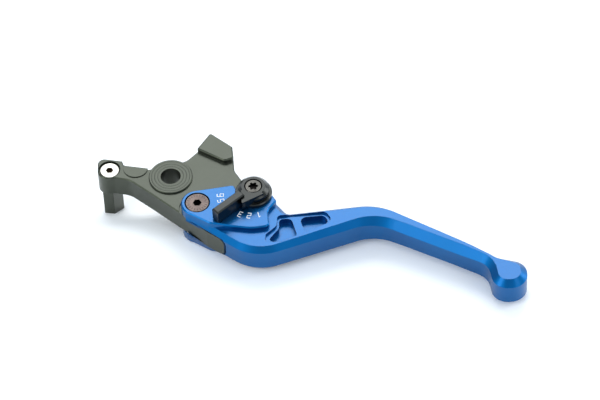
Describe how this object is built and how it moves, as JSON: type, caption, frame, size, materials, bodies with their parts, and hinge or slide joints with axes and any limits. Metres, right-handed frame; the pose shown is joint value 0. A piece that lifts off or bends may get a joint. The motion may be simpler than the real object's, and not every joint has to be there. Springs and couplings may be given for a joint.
{
  "type": "motorcycle clutch lever",
  "caption": "Reach-adjustable motorcycle clutch lever: a blue anodised blade hinged on a black adapter, with a numbered cam dial that sets how far the blade stands from the grip.",
  "frame": {"origin": "centre of the perch pin bore, half way through the adapter plate", "axes": "+Z along the perch bore towards the dial, +X outward to the finger end, +Y towards the handlebar"},
  "size_m": [0.1662, 0.0834, 0.0358],
  "materials": {
    "black_anodised": "satin black anodised, finely blasted",
    "blue_anodised": "satin blue anodised",
    "knob_black": "satin black anodised",
    "bright_steel": "turned stainless steel",
    "dark_steel": "turned steel, grey",
    "black_steel": "black oxide steel",
    "bronze": "sintered bearing bronze",
    "washer_plastic": "natural acetal",
    "seal_rubber": "nitrile rubber",
    "white_paint": "white paint in the dial's numbers"
  },
  "bodies": {
    "adapter": {"adapter": "black_anodised", "switch_post": "black_anodised", "post_screw": "bright_steel", "post_dowel": "bright_steel", "pivot_bush": "bronze", "upper_washer": "washer_plastic", "lower_washer": "washer_plastic", "contact_pin": "bright_steel", "return_spring": "bright_steel"},
    "blade": {"blade": "blue_anodised", "pivot_screw": "dark_steel", "pivot_nut": "dark_steel", "detent_spring": "bright_steel"},
    "knob": {"adjuster_knob": "knob_black", "knob_screw": "black_steel", "cam_shaft": "bright_steel", "shaft_o_ring": "seal_rubber", "cam_washer": "washer_plastic"},
    "detent_ball": {"detent_ball": "bright_steel"},
    "plunger": {"return_plunger": "black_steel"}
  },
  "joints": [
    {"name": "knob_turn", "type": "hinge", "parent": "blade", "child": "knob", "pos_m": [0.0327, -0.0137, 0.0089], "axis": [0, 0, 1], "range_deg": [-63.6, 42.4]},
    {"name": "reach_hinge", "type": "hinge", "parent": "adapter", "child": "blade", "pos_m": [0.01045, -0.01675, 0], "axis": [0, 0, 1], "range_deg": [-3.7, 2.5]},
    {"name": "detent_lift", "type": "slide", "parent": "blade", "child": "detent_ball", "axis": [0, 0, -1], "range_m": [0, 0.00025], "stiffness_N_per_m": 1500, "springref_m": -0.0006, "deforming": ["detent_spring"]},
    {"name": "plunger_slide", "type": "slide", "parent": "adapter", "child": "plunger", "axis": [0.5446, 0.8387, 0], "range_m": [-0.001, 0.0007], "deforming": ["return_spring"]}
  ],
  "couplings": [
    {"joint": "reach_hinge", "follows": "knob_turn", "ratio": 0.0566},
    {"joint": "plunger_slide", "follows": "knob_turn", "m_per_rad": 0.000877}
  ]
}
